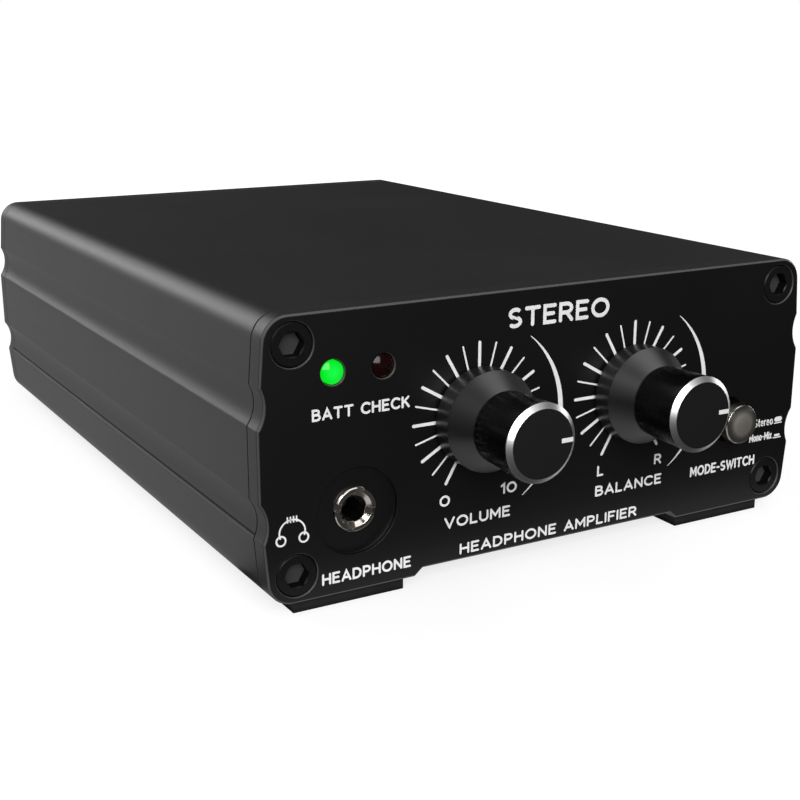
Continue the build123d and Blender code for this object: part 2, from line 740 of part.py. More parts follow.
def capacitors():
    """The round reservoir, coupling and filter capacitors."""
    cans = []
    for kind, x, y in CAPACITOR_SPOTS:
        radius, height = CAPACITOR_SIZES[kind]
        cans.append(Pos(x, y, BOARD_Z) * extrude(Circle(radius), amount=height))
    return several(cans)


def chips():
    """The amplifier and regulator chips, each with two rows of legs."""
    width, length, height = CHIP_SIZE
    leg_width, leg_length, leg_height = CHIP_LEG
    low = BOARD_Z + CHIP_LIFT
    packages = []
    for x, y in CHIP_SPOTS:
        body = block(centred(x, width), centred(y, length), (low, low + height))
        for side in (-1, 1):
            leg_x = x + side * (width + leg_width) / 2
            for step in PIN_STEPS:
                leg_y = centred(y + PIN_PITCH * step, leg_length)
                body += block(centred(leg_x, leg_width), leg_y, (BOARD_Z, BOARD_Z + leg_height))
        packages.append(body)
    return several(packages)


# --- Battery ---
def battery_spans():
    """The battery's low and high limits along X, Y and Z, lying on its holder's floor."""
    length, width, height = BATTERY_SIZE
    low = BOARD_Z + HOLDER_WALL
    return centred(BATTERY_CENTRE_X, width), centred(0, length), (low, low + height)


def battery():
    x_span, y_span, z_span = battery_spans()
    body = block(x_span, y_span, z_span)
    return fillet(body.edges().filter_by(Axis.Y), BATTERY_ROUNDING)


def battery_contacts():
    """The two round snap terminals and the plate that joins them to the holder."""
    _, y_span, z_span = battery_spans()
    z = sum(z_span) / 2
    width, thickness, height = CONTACT_PLATE
    plate_y = y_span[0] - TERMINAL_LENGTH
    contacts = block(
        centred(BATTERY_CENTRE_X, width), (plate_y - thickness, plate_y), centred(z, height)
    )
    for side in (-1, 1):
        x = BATTERY_CENTRE_X + side * TERMINAL_SPACING / 2
        contacts += rod(x, z, TERMINAL_RADIUS, plate_y, y_span[0])
    return contacts


def battery_holder():
    """An open tray with four walls, the front one behind the contact plate."""
    x_span, y_span, _ = battery_spans()
    inner_x = (x_span[0] - HOLDER_GAP, x_span[1] + HOLDER_GAP)
    inner_y = (y_span[0] - TERMINAL_LENGTH - CONTACT_PLATE[1], y_span[1] + HOLDER_GAP)
    outer_x = (inner_x[0] - HOLDER_WALL, inner_x[1] + HOLDER_WALL)
    outer_y = (inner_y[0] - HOLDER_WALL, inner_y[1] + HOLDER_WALL)
    tray = block(outer_x, outer_y, (BOARD_Z, BOARD_Z + HOLDER_WALL_HEIGHT))
    return tray - block(inner_x, inner_y, (BOARD_Z + HOLDER_WALL, BOARD_Z + HOLDER_WALL_HEIGHT))


# --- Inputs ---
def input_shell(x):
    """The front of a combined input: a body behind the panel and a round nose through it,
    around a pocket for the shell of a round plug."""
    z = FLOOR + INPUT_HEIGHT
    nose_y = BACK + INPUT_NOSE_REACH
    pocket_y = nose_y - INPUT_RING_DEPTH
    width = centred(x, 2 * INPUT_BODY_HALF_WIDTH)
    body = block(width, (pocket_y, INNER_BACK), (BOARD_Z, z + INPUT_BODY_HALF_WIDTH))
    nose = rod(x, z, INPUT_NOSE_RADIUS, INNER_BACK, nose_y)
    nose = chamfer(nose.faces().sort_by(Axis.Y)[-1].edges(), INPUT_NOSE_CHAMFER)
    shell = body + nose - rod(x, z, INPUT_RING_OUTER, pocket_y, nose_y)
    shell -= latch_section(x, LATCH_CLEARANCE, nose_y - LATCH_LENGTH - LATCH_ROOM, nose_y)
    for screw_x, screw_z in input_screw_spots():
        if hypot(screw_x - x, screw_z - z) < 2 * INPUT_SCREW_REACH:
            hole_end = BACK - INPUT_SCREW_HOLE_DEPTH
            shell -= rod(screw_x, screw_z, INPUT_SCREW_RADIUS, hole_end, INNER_BACK)
    return shell


def input_block(x):
    """The rear of a combined input, bored right through because the tip of a full-length
    plug stands out behind it."""
    z = FLOOR + INPUT_HEIGHT
    depth = (INNER_BACK - INPUT_BODY_DEPTH, BACK + INPUT_NOSE_REACH - INPUT_RING_DEPTH)
    width = centred(x, 2 * INPUT_BODY_HALF_WIDTH)
    body = block(width, depth, (BOARD_Z, z + INPUT_BODY_HALF_WIDTH))
    return body - rod(x, z, INPUT_BORE_RADIUS, *depth)


def input_insert(x):
    """The inner part, with three pin holes and a central bore for a 6.35 mm plug."""
    z = FLOOR + INPUT_HEIGHT
    nose_y = BACK + INPUT_NOSE_REACH
    face = nose_y - INPUT_INSERT_SETBACK
    insert = tube(x, z, INPUT_RING_INNER, INPUT_BORE_RADIUS, nose_y - INPUT_RING_DEPTH, face)
    for turn in INPUT_PIN_TURNS:
        pin_x = x + INPUT_PIN_CIRCLE * cos(radians(turn))
        pin_z = z - INPUT_PIN_CIRCLE * sin(radians(turn))
        insert -= rod(pin_x, pin_z, INPUT_PIN_HOLE_RADIUS, nose_y - INPUT_PIN_DEPTH, face)
    return insert


def latch_section(x, grow, y_from, y_to):
    middle_z = FLOOR + INPUT_HEIGHT + LATCH_OFFSET
    outline = Pos(x, middle_z) * Rectangle(LATCH_WIDTH + 2 * grow, LATCH_HEIGHT + 2 * grow)
    return prism(outline, y_from, y_to)


def input_latch(x):
    """The release tab of one input, pressed inwards to let a plug go."""
    nose_y = BACK + INPUT_NOSE_REACH
    return latch_section(x, 0, nose_y - LATCH_LENGTH, BACK + LATCH_REACH)


def input_screws():
    """Domed self-tapping screws, two for each input."""
    top = BACK + INPUT_SCREW_HEAD_HEIGHT
    length, width, depth = INPUT_SCREW_CROSS
    screws = []
    for x, z in input_screw_spots():
        head = rod(x, z, INPUT_SCREW_HEAD_RADIUS, BACK, top)
        head = fillet(head.faces().sort_by(Axis.Y)[-1].edges(), INPUT_SCREW_ROUNDING)
        shank = rod(x, z, INPUT_SCREW_RADIUS, BACK - INPUT_SCREW_LENGTH, BACK)
        cross = block(centred(x, length), (top - depth, top), centred(z, width))
        cross += block(centred(x, width), (top - depth, top), centred(z, length))
        screws.append(head + shank - cross)
    return several(screws)


# --- DC inlet and power rocker ---
def dc_inlet():
    """The barrel inlet: a body on the board and a round nose in the panel."""
    z = FLOOR + INLET_HEIGHT
    depth = (INNER_BACK - INLET_BODY_DEPTH, INNER_BACK)
    body = block(centred(INLET_X, INLET_BODY_WIDTH), depth, (BOARD_Z, FLOOR + INLET_BODY_TOP))
    nose = rod(INLET_X, z, INLET_NOSE_RADIUS, INNER_BACK, BACK)
    return body + nose - rod(INLET_X, z, INLET_SOCKET_RADIUS, BACK - INLET_SOCKET_DEPTH, BACK)


def dc_inlet_pin():
    z = FLOOR + INLET_HEIGHT
    pin = rod(INLET_X, z, INLET_PIN_RADIUS, BACK - INLET_SOCKET_DEPTH, BACK - INLET_PIN_SETBACK)
    return chamfer(pin.faces().sort_by(Axis.Y)[-1].edges(), SMALL_CHAMFER)


def rocker_frame():
    """The rocker's flanged frame, pushed into the panel from outside."""
    here = Pos(ROCKER_X, FLOOR + ROCKER_HEIGHT)
    outer = BACK + ROCKER_FLANGE_THICKNESS
    inner = BACK - ROCKER_DEPTH
    flange = prism(here * Rectangle(*ROCKER_FLANGE), BACK, outer)
    flange = chamfer(flange.faces().sort_by(Axis.Y)[-1].edges(), SMALL_CHAMFER)
    box = prism(here * Rectangle(*ROCKER_CUTOUT), inner, BACK)
    return flange + box - prism(here * Rectangle(*ROCKER_OPENING), inner + ROCKER_FLOOR, outer)


def rocker_pins():
    """The two stub pins that the rocker turns on, fixed in the frame's side walls."""
    y = BACK - ROCKER_PIVOT_SETBACK
    middle = FLOOR + ROCKER_HEIGHT
    half = ROCKER_OPENING[1] / 2
    stub = extrude(Circle(ROCKER_PIVOT_RADIUS), amount=ROCKER_PIVOT_LENGTH)
    levels = (middle - half, middle + half - ROCKER_PIVOT_LENGTH)
    return several(Pos(ROCKER_X, y, level) * stub for level in levels)


def power_rocker():
    """The rocker: two faces that meet in a shallow V, tilted to its rest side.

    The raised end of the tilted rocker is the rearmost point of the whole object.
    """
    y = BACK - ROCKER_PIVOT_SETBACK
    tilt = radians(ROCKER_TILT)
    half_z = ROCKER_OPENING[1] / 2 - ROCKER_SIDE_CLEARANCE
    edge = (REAR_REACH + ROCKER_PIVOT_SETBACK - ROCKER_HALF_LENGTH * sin(tilt)) / cos(tilt)
    outline = Polyline(
        (-ROCKER_HALF_LENGTH, -ROCKER_TAIL),
        (ROCKER_HALF_LENGTH, -ROCKER_TAIL),
        (ROCKER_HALF_LENGTH, edge),
        (0, edge - ROCKER_VALLEY),
        (-ROCKER_HALF_LENGTH, edge),
        close=True,
    )
    slab = extrude(make_face(outline), amount=half_z, both=True)
    slab -= Cylinder(ROCKER_PIVOT_RADIUS + SHAFT_CLEARANCE, 4 * half_z)
    return Pos(ROCKER_X, y, FLOOR + ROCKER_HEIGHT) * Rot(0, 0, ROCKER_TILT) * slab


# --- All the pieces, by node name ---
def all_parts():
    parts = {
        "upper_shell": upper_shell(),
        "lower_shell": lower_shell(),
        "front_panel": front_panel(),
        "rear_panel": rear_panel(),
        "front_panel_screws": panel_screws(FRONT, 1),
        "rear_panel_screws": panel_screws(BACK, -1),
        "pot_washers": pot_washers(),
        "pot_nuts": pot_nuts(),
        "lamp_board": lamp_board(),
        "lamp_board_pins": lamp_board_pins(),
        "headphone_jack_bush": jack_bush(),
        "headphone_jack_body": jack_body(),
        "headphone_jack_contacts": jack_contacts(),
        "mode_switch_housing": switch_housing(),
        "mode_switch_stem": switch_stem(),
        "mode_button": mode_button(),
        "main_board": main_board(),
        "board_standoffs": board_standoffs(),
        "base_screws": base_screws(),
        "capacitors": capacitors(),
        "amplifier_chips": chips(),
        "battery": battery(),
        "battery_contacts": battery_contacts(),
        "battery_holder": battery_holder(),
        "input_screws": input_screws(),
        "dc_inlet": dc_inlet(),
        "dc_inlet_pin": dc_inlet_pin(),
        "power_rocker_frame": rocker_frame(),
        "power_rocker_pins": rocker_pins(),
        "power_rocker": power_rocker(),
    }
    for name, side in (("left", -1), ("right", 1)):
        parts[f"{name}_foot_strip"] = foot_strip(side)
    for name, x in zip(("volume", "balance"), DIAL_X):
        parts[f"{name}_knob"] = knob(x)
        parts[f"{name}_shaft"] = pot_shaft(x)
        parts[f"{name}_potentiometer"] = potentiometer(x)
    for name, x in zip(("green", "red"), LAMP_X):
        parts[f"{name}_lamp"] = lamp(x)
    for name, x in zip(("right", "left"), INPUT_X):
        parts[f"{name}_input_shell"] = input_shell(x)
        parts[f"{name}_input_block"] = input_block(x)
        parts[f"{name}_input_insert"] = input_insert(x)
        parts[f"{name}_input_latch"] = input_latch(x)
    return parts


os.makedirs("parts", exist_ok=True)
for node, shape in all_parts().items():
    export_step(shape, f"parts/{node}.step")
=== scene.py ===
import json
from math import atan2, cos, pi, radians, sin

import bmesh
import bpy
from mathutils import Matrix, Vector


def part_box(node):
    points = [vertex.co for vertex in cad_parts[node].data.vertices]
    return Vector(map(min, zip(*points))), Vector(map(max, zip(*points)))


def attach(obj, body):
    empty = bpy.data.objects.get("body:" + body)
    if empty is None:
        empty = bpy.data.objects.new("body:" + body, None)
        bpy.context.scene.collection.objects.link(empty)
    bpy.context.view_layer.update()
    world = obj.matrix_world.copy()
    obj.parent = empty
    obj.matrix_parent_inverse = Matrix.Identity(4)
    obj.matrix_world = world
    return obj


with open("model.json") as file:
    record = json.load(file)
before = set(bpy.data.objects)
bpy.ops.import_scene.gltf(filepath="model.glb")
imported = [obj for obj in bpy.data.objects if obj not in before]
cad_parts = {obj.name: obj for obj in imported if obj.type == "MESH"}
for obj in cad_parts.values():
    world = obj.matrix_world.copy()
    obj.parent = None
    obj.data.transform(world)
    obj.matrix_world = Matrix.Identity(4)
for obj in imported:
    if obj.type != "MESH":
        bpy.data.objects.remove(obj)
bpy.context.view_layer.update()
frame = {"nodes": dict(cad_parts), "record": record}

NODES = frame["nodes"]
MM = 0.001


def centre(node):
    low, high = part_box(node)
    return (low + high) / 2


# --- Places on the object, read from the frame ---
PANEL_LOW, PANEL_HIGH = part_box("front_panel")
PANEL_HALF = (PANEL_HIGH.y - PANEL_LOW.y) / 2
FRONT = PANEL_LOW.y
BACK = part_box("rear_panel")[1].y
LAND = PANEL_LOW.z  # the panel's bottom edge, from which the heights of printed marks are measured
SHELL_LOW, SHELL_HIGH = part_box("lower_shell")
SEAM = SHELL_HIGH.z
SHELL_FRONT = SHELL_LOW.y
SHELL_BACK = SHELL_HIGH.y
DIALS = {name: centre(name + "_knob") for name in ("volume", "balance")}
KNOB_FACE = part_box("volume_knob")[0].y
LAMPS = {name: centre(name + "_lamp") for name in ("green", "red")}
JACK = centre("headphone_jack_bush")
BUTTON_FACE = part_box("mode_button")[0].y
REAR_FITTINGS = ("right_input_shell", "left_input_shell", "dc_inlet", "power_rocker")

# --- Printed marks, in millimetres ---
PRINT_THICKNESS = 0.02
PRINT_STEP = 0.002
PRINT_LAYERS = 6
STROKE = 0.30
CAP_HEIGHT = 1.55
CAP_STEPS = 6  # corners round half a circle at the end of a stroke
MITRE_LIMIT = 0.5

# --- Surface relief, in metres ---
GRAIN_DEPTH = 0.03 * MM
CASE_ROUNDING = 0.35 * MM

# --- Where each change of finish, painted shade or painted highlight starts and ends, in metres ---
# painted shade: the case darkens along its gaps, fading out between these distances from them
GAP_SHADE = (0.08 * MM, 0.18 * MM)
GAP_SHARP = (0.4 * MM, 0.6 * MM)
PANEL_SIDE = (FRONT + 0.02 * MM, FRONT + 0.06 * MM)
JACK_RECESS = (8.0 * MM, 8.5 * MM)
# painted highlight along a panel's edges: it starts this far from the panel's middle and ends at
# PANEL_OFF_FACE
PANEL_EDGE_HIGHLIGHT = (PANEL_HALF - 0.28 * MM, PANEL_HALF - 0.24 * MM)
PANEL_OFF_FACE = (PANEL_HALF - 0.05 * MM, PANEL_HALF - 0.02 * MM)
KNOB_RIM = (KNOB_FACE + 0.03 * MM, KNOB_FACE + 0.56 * MM)
KNOB_SKIRT = (FRONT - 6.6 * MM, FRONT - 6.2 * MM)
BUTTON_SATIN = (BUTTON_FACE + 0.10 * MM, BUTTON_FACE + 0.25 * MM)
# painted shade on a screw socket's walls and painted highlight on its floor, by depth behind the panel's
# face
SOCKET_WALL = (0.20 * MM, 0.30 * MM)
SOCKET_FLOOR = (1.62 * MM, 1.64 * MM)
LAMP_CORE = (0.3 * MM, 1.6 * MM)


# ---------------------------------------------------------------- mesh helpers
def new_object(name, mesh, body, material):
    piece = bpy.data.objects.new(name, mesh)
    bpy.context.scene.collection.objects.link(piece)
    mesh.materials.append(material)
    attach(piece, body)


def to_mesh(bm, name):
    """Turn bm into a mesh whose faces all point outwards."""
    bmesh.ops.recalc_face_normals(bm, faces=bm.faces)
    mesh = bpy.data.meshes.new(name)
    bm.to_mesh(mesh)
    bm.free()
    return mesh


def at(x, z):
    """A point on a panel, from millimetres along X from its middle and above its land."""
    return (x * MM, LAND + z * MM)


def slab(bm, outline, y_from, y_to):
    """Add a closed slab to bm, from an outline of (x, z) points in order."""
    rings = [[bm.verts.new((x, y, z)) for x, z in outline] for y in (y_from, y_to)]
    bm.faces.new(rings[0])
    bm.faces.new(list(reversed(rings[1])))
    count = len(outline)
    for i in range(count):
        j = (i + 1) % count
        bm.faces.new((rings[0][j], rings[0][i], rings[1][i], rings[1][j]))


def stroke_outline(points, width):
    """The outline of a line of even width with round ends, through (x, z) points."""
    half = width / 2
    left, right = [], []
    spans = [Vector(b) - Vector(a) for a, b in zip(points, points[1:])]
    ways = [span.normalized() for span in spans]
    for point, before, after in zip(points, ways[:1] + ways, ways + ways[-1:]):
        across = (before + after).normalized()
        reach = half / max(across.dot(after), MITRE_LIMIT)
        offset = Vector((-across.y, across.x)) * reach
        left.append(tuple(Vector(point) + offset))
        right.append(tuple(Vector(point) - offset))
    caps = []
    for (x, z), way in ((points[-1], ways[-1]), (points[0], -ways[0])):
        along = atan2(way.y, way.x)
        turns = [along + pi / 2 - pi * k / CAP_STEPS for k in range(1, CAP_STEPS)]
        caps.append([(x + half * cos(t), z + half * sin(t)) for t in turns])
    return left + caps[0] + list(reversed(right)) + caps[1]


def arc(x, z, radius_x, radius_z, start, end, steps=10):
    """Points along part of an ellipse, with angles in degrees from +X towards +Z."""
    turns = [radians(start + (end - start) * k / steps) for k in range(steps + 1)]
    return [(x + radius_x * cos(t), z + radius_z * sin(t)) for t in turns]


def ring(x, z, radius_x, radius_z, steps=10):
    """A whole ellipse as two strokes, because one stroke can't close on itself."""
    return [arc(x, z, radius_x, radius_z, start, start + 180, steps) for start in (90, 270)]


def printed(name, strokes, y=FRONT, facing=-1):
    """A printed mark: closed outlines in metres, standing just proud of the surface at y.

    Neighbouring strokes have slightly different heights, so that crossing ones don't share a face.
    """
    bm = bmesh.new()
    for index, outline in enumerate(strokes):
        rise = PRINT_THICKNESS + PRINT_STEP * (index % PRINT_LAYERS)
        slab(bm, outline, y + facing * rise * MM, y - facing * rise * MM)
    new_object(name, to_mesh(bm, name), "root", MATERIALS["print_white"])


# ---------------------------------------------------------------- the lettering
# Each letter is drawn as strokes in a cell one unit high: (width, [points, ...]).
LETTERS = {
    "A": (0.80, [[(0, 0), (0.40, 1), (0.80, 0)], [(0.14, 0.30), (0.66, 0.30)]]),
    "B": (0.66, [
        [(0.36, 0), (0, 0), (0, 1), (0.34, 1)],
        arc(0.34, 0.77, 0.24, 0.23, 90, -90, 8),
        [(0, 0.54), (0.36, 0.54)],
        arc(0.36, 0.27, 0.30, 0.27, 90, -90, 8),
    ]),
    "C": (0.78, [arc(0.46, 0.5, 0.46, 0.5, 48, 312, 16)]),
    "D": (0.72, [[(0.24, 0), (0, 0), (0, 1), (0.24, 1)], arc(0.24, 0.5, 0.48, 0.5, 90, -90, 14)]),
    "E": (0.58, [[(0.58, 0), (0, 0), (0, 1), (0.58, 1)], [(0, 0.52), (0.50, 0.52)]]),
    "F": (0.56, [[(0, 0), (0, 1), (0.56, 1)], [(0, 0.50), (0.46, 0.50)]]),
    "H": (0.70, [[(0, 0), (0, 1)], [(0.70, 0), (0.70, 1)], [(0, 0.52), (0.70, 0.52)]]),
    "I": (0.0, [[(0, 0), (0, 1)]]),
    "K": (0.66, [[(0, 0), (0, 1)], [(0.60, 1), (0.04, 0.42)], [(0.24, 0.60), (0.66, 0)]]),
    "L": (0.54, [[(0, 1), (0, 0), (0.54, 0)]]),
    "M": (0.84, [[(0, 0), (0, 1)], [(0, 1), (0.42, 0.30), (0.84, 1)], [(0.84, 1), (0.84, 0)]]),
    "N": (0.70, [[(0, 0), (0, 1)], [(0, 1), (0.70, 0)], [(0.70, 0), (0.70, 1)]]),
    "O": (0.92, ring(0.46, 0.5, 0.46, 0.5)),
    "P": (0.62, [
        [(0, 0), (0, 1), (0.32, 1)],
        arc(0.32, 0.72, 0.30, 0.28, 90, -90, 8),
        [(0.32, 0.44), (0, 0.44)],
    ]),
    "R": (0.66, [
        [(0, 0), (0, 1), (0.34, 1)],
        arc(0.34, 0.73, 0.30, 0.27, 90, -90, 8),
        [(0.34, 0.46), (0, 0.46)],
        [(0.36, 0.46), (0.66, 0)],
    ]),
    "S": (0.62, [
        arc(0.33, 0.75, 0.29, 0.25, 50, 270, 12) + arc(0.31, 0.25, 0.31, 0.25, 90, -130, 12),
    ]),
    "T": (0.72, [[(0, 1), (0.72, 1)], [(0.36, 1), (0.36, 0)]]),
    "U": (0.70, [[(0, 1), (0, 0.36)] + arc(0.35, 0.35, 0.35, 0.35, 180, 360, 12) + [(0.70, 1)]]),
    "V": (0.80, [[(0, 1), (0.40, 0), (0.80, 1)]]),
    "W": (1.12, [[(0, 1), (0.28, 0), (0.56, 0.9)], [(0.56, 0.9), (0.84, 0), (1.12, 1)]]),
    "0": (0.84, ring(0.42, 0.5, 0.42, 0.5)),
    "1": (0.26, [[(0, 0.80), (0.26, 1), (0.26, 0)]]),
    "-": (0.30, [[(0, 0.46), (0.30, 0.46)]]),
    "t": (0.28, [[(0.12, 0.98), (0.12, 0.14), (0.26, 0.0)], [(0, 0.70), (0.28, 0.70)]]),
    "e": (0.50, [[(0.02, 0.36), (0.50, 0.36)] + arc(0.26, 0.35, 0.25, 0.35, 0, 300, 14)]),
    "r": (0.26, [[(0, 0), (0, 0.70)], [(0, 0.48), (0.12, 0.68), (0.26, 0.70)]]),
    "o": (0.54, ring(0.27, 0.35, 0.27, 0.35)),
    "n": (0.44, [
        [(0, 0), (0, 0.70)],
        [(0, 0.46)] + arc(0.22, 0.46, 0.22, 0.24, 180, 0, 8) + [(0.44, 0)],
    ]),
    "i": (0.0, [[(0, 0), (0, 0.66)], [(0, 0.94), (0, 0.98)]]),
    "x": (0.42, [[(0, 0), (0.42, 0.70)], [(0.42, 0), (0, 0.70)]]),
}
LETTER_GAP = 0.34
WORD_GAP = 0.62
MIDDLE = 0.5  # the middle of a letter's height, as a share of it


def lettering(name, text, x, z, width, cap=CAP_HEIGHT, stroke=STROKE, y=FRONT, facing=-1):
    """Text centred on (x, z) in millimetres from the panel's middle and its bottom land.

    The letters are squeezed or spread sideways until the whole text has the stated width.
    """
    natural = -LETTER_GAP
    for letter in text:
        natural += WORD_GAP if letter == " " else LETTERS[letter][0] + LETTER_GAP
    stretch = (width - stroke) / natural
    start = x - (width - stroke) / 2
    rise = cap - stroke
    strokes = []
    pen = 0.0
    for letter in text:
        if letter == " ":
            pen += WORD_GAP
            continue
        cell, lines = LETTERS[letter]
        for line in lines:
            across = [-facing * (start + (pen + px) * stretch) for px, _ in line]
            up = [z + (pz - MIDDLE) * rise for _, pz in line]
            strokes.append(stroke_outline([at(*point) for point in zip(across, up)], stroke * MM))
        pen += cell + LETTER_GAP
    printed(name, strokes, y=y, facing=facing)


# ---------------------------------------------------------------- materials
MATERIALS = {}
BEVEL_SAMPLES = 6
SPECK_SHADE = 0.7


def grey(level):
    return (level, level, level)


class Shader:
    """A node material being built up, with short calls for the nodes that repeat."""

    def __init__(self, name):
        self.material = bpy.data.materials.new(name)
        self.material.use_nodes = True
        self.tree = self.material.node_tree
        self.bsdf = self.tree.nodes["Principled BSDF"]
        self.coordinates = self.tree.nodes.new("ShaderNodeTexCoord").outputs["Object"]
        MATERIALS[name] = self.material

    def node(self, kind, inputs=None, **settings):
        made = self.tree.nodes.new("ShaderNode" + kind)
        for key, value in settings.items():
            setattr(made, key, value)
        for key, value in (inputs or {}).items():
            if isinstance(value, bpy.types.NodeSocket):
                self.tree.links.new(value, made.inputs[key])
            else:
                made.inputs[key].default_value = value
        return made

    def set(self, **values):
        """Set the shader's own sockets; an underscore stands for a space."""
        for key, value in values.items():
            socket = self.bsdf.inputs[key.replace("_", " ")]
            if isinstance(value, bpy.types.NodeSocket):
                self.tree.links.new(value, socket)
            else:
                socket.default_value = value

    def stretched(self, x, y, z):
        """Coordinates with each axis multiplied, for grain that runs one way."""
        return self.node("Mapping", {"Vector": self.coordinates, "Scale": (x, y, z)}).outputs[0]

    def noise(self, scale, detail=2.0, vector=None):
        inputs = {"Vector": vector or self.coordinates, "Scale": scale, "Detail": detail}
        return self.node("TexNoise", inputs).outputs["Fac"]

    def ranged(self, value, low, high, start=0.3, end=0.7):
        """A value that goes evenly from low at start to high at end.

        The usual start and end are those between which most of a noise lies.
        """
        inputs = {"Value": value, "From Min": start, "From Max": end, "To Min": low, "To Max": high}
        return self.node("MapRange", inputs).outputs["Result"]

    def math(self, operation, first, second=0.0):
        """One sum on sockets or plain numbers; a sum of one number leaves out the second."""
        return self.node("Math", {0: first, 1: second}, operation=operation).outputs[0]

    def colour(self, value, dark, light):
        """A mix of two colours, each three plain values or a colour made by other nodes."""
        ends = [end if isinstance(end, bpy.types.NodeSocket) else (*end, 1) for end in (dark, light)]
        inputs = {"Factor": value, "A": ends[0], "B": ends[1]}
        return self.node("Mix", inputs, data_type="RGBA").outputs["Result"]

    def axis(self, letter):
        """One of a point's own coordinates."""
        return self.node("SeparateXYZ", {"Vector": self.coordinates}).outputs[letter]

    def rounded(self, radius):
        """A normal that rounds the sharp edges by a radius in metres."""
        return self.node("Bevel", {"Radius": radius}, samples=BEVEL_SAMPLES).outputs["Normal"]

    def sunk_in_panel(self):
        """How far a point lies behind the outer face of the nearer of the two panels."""
        depth = self.axis("Y")
        from_front = self.math("SUBTRACT", depth, FRONT)
        from_back = self.math("SUBTRACT", BACK, depth)
        return self.math("MINIMUM", from_front, from_back)

    def from_gap(self):
        """How far a point of the case lies from the nearest of its gaps: seam, front and back."""
        depth = self.axis("Y")
        from_seam = self.math("ABSOLUTE", self.math("SUBTRACT", self.axis("Z"), SEAM))
        from_front = self.math("SUBTRACT", depth, SHELL_FRONT)
        from_back = self.math("SUBTRACT", SHELL_BACK, depth)
        from_end = self.math("MINIMUM", from_front, from_back)
        return self.math("MINIMUM", from_seam, from_end)

    def bump(self, height, strength, distance, normal=None):
        inputs = {"Height": height, "Strength": strength, "Distance": distance}
        if normal is not None:
            inputs["Normal"] = normal
        self.set(Normal=self.node("Bump", inputs).outputs["Normal"])


def grained(name, dark, light, roughness, grain, strength, edge=None, **plain):
    """A moulded, coated or rubber surface: mottled colour and a fine even grain."""
    shader = Shader(name)
    mottle = shader.noise(grain / 12, 3.0)
    fine = shader.noise(grain, 2.0)
    shader.set(Base_Color=shader.colour(shader.ranged(mottle, 0, 1), dark, light))
    shader.set(Roughness=shader.ranged(fine, *roughness))
    shader.set(**plain)
    shader.bump(fine, strength, GRAIN_DEPTH, shader.rounded(edge) if edge else None)


def metal(name, dark, light, roughness, scale, direction=(1, 1, 1), strength=0.05, edge=None):
    """Bare or plated metal with fine streaks along one direction."""
    shader = Shader(name)
    streaks = shader.noise(scale, 3.0, shader.stretched(*direction))
    shader.set(Base_Color=shader.colour(shader.ranged(streaks, 0, 1), dark, light))
    shader.set(Roughness=shader.ranged(streaks, *roughness), Metallic=1.0)
    shader.bump(streaks, strength, 0.02 * MM, shader.rounded(edge) if edge else None)


def make_case_material():
    """Black coated extrusion: fine grain, faint lines along the length, and painted shade along its gaps.
    """
    shader = Shader("case_black")
    fine = shader.noise(9000, 2.0)
    lines = shader.noise(900, 3.0, shader.stretched(1, 0.01, 1))
    cloud = shader.noise(40, 2.0)
    from_gap = shader.from_gap()
    # painted shade along the seam and the panels' edges, standing in for the shadow in the gaps
    clear_of_gap_shade = shader.ranged(from_gap, 0, 1, *GAP_SHADE)
    tone = shader.math("MULTIPLY", shader.ranged(cloud, 0.008, 0.011), clear_of_gap_shade)
    grain = shader.math("ADD", shader.ranged(fine, -0.05, 0.05), shader.ranged(lines, 0.46, 0.475))
    rough = shader.math("ADD", grain, shader.ranged(clear_of_gap_shade, 0.5, 0.0))
    shader.set(Base_Color=shader.colour(tone, grey(0.0), grey(1.0)), Roughness=rough)
    shader.set(Specular_IOR_Level=0.45)
    height = shader.math("ADD", fine, shader.ranged(lines, 0.0, 0.05, 0.0, 1.0))
    radius = shader.ranged(from_gap, 0.0, CASE_ROUNDING, *GAP_SHARP)
    shader.bump(height, 0.25, GRAIN_DEPTH, shader.rounded(radius))


def make_panel_material():
    """Black anodised plate: a deep black front face, greyer elsewhere, with a painted highlight along the
    edges of its faces.
    """
    shader = Shader("panel_black")
    fine = shader.noise(9000, 2.0)
    cloud = shader.noise(60, 2.0)
    behind_front = shader.ranged(shader.axis("Y"), 0, 1, *PANEL_SIDE)
    jack_inputs = {0: shader.coordinates, 1: (JACK.x, FRONT, JACK.z)}
    from_jack = shader.node("VectorMath", jack_inputs, operation="DISTANCE").outputs["Value"]
    beyond_jack = shader.ranged(from_jack, 0, 1, *JACK_RECESS)
    edge = shader.math("MULTIPLY", behind_front, beyond_jack)
    offset = shader.math("SUBTRACT", shader.sunk_in_panel(), PANEL_HALF)
    from_middle = shader.math("ABSOLUTE", offset)
    near_face = shader.ranged(from_middle, 0, 1, *PANEL_EDGE_HIGHLIGHT)
    off_face = shader.ranged(from_middle, 1, 0, *PANEL_OFF_FACE)
    # painted highlight: a lighter band along the rims of the panel's faces and holes
    side_and_highlight = shader.colour(shader.math("MULTIPLY", near_face, off_face), grey(0.012), grey(0.06))
    face = shader.colour(shader.ranged(cloud, 0, 1), grey(0.0018), grey(0.0026))
    base = shader.ranged(edge, 0.40, 0.48, 0, 1)
    rough = shader.math("ADD", base, shader.ranged(fine, -0.05, 0.05))
    shader.set(Base_Color=shader.colour(edge, face, side_and_highlight), Roughness=rough, Specular_IOR_Level=0.40)
    shader.bump(fine, 0.2, GRAIN_DEPTH, shader.rounded(0.12 * MM))


